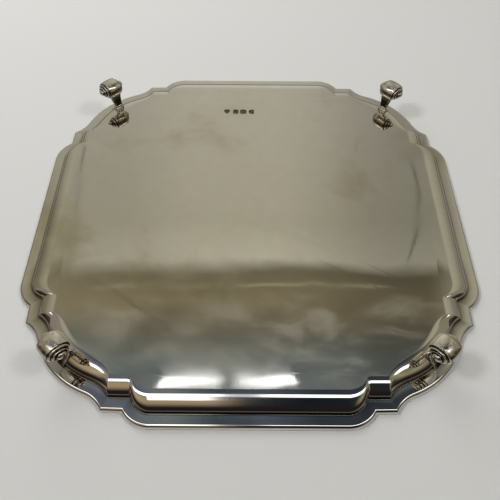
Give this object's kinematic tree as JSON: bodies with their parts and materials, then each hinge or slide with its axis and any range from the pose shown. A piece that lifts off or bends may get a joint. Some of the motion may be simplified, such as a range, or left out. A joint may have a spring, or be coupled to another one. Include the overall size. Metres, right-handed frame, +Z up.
{
  "type": "silver salver",
  "caption": "Shaped square salver in raised silver sheet with an applied moulded border, bowed corners and cast scroll feet soldered under the corners.",
  "frame": {"origin": "centre of the footprint, on the table that the feet stand on", "axes": "+Z up, out of the well; +X and +Y along the long sides; the struck marks are on the underside, towards +Y"},
  "size_m": [0.305, 0.305, 0.0318],
  "materials": {
    "raised_sheet": "worn polished silver with light olive and brown tarnish, fine scratches",
    "border_moulding": "polished silver, bright on its high lines",
    "cast_feet": "cast silver, bright on the scrolls and dark in the recesses"
  },
  "bodies": {
    "root": {"tray_body": "raised_sheet", "border_back": "border_moulding", "border_right": "border_moulding", "border_front": "border_moulding", "border_left": "border_moulding", "border_link_back_right_a": "border_moulding", "border_link_back_right_b": "border_moulding", "border_link_front_right_a": "border_moulding", "border_link_front_right_b": "border_moulding", "border_link_front_left_a": "border_moulding", "border_link_front_left_b": "border_moulding", "border_link_back_left_a": "border_moulding", "border_link_back_left_b": "border_moulding", "border_bow_back_right": "border_moulding", "border_bow_front_right": "border_moulding", "border_bow_front_left": "border_moulding", "border_bow_back_left": "border_moulding", "foot_back_right": "cast_feet", "foot_front_right": "cast_feet", "foot_front_left": "cast_feet", "foot_back_left": "cast_feet"}
  },
  "joints": []
}
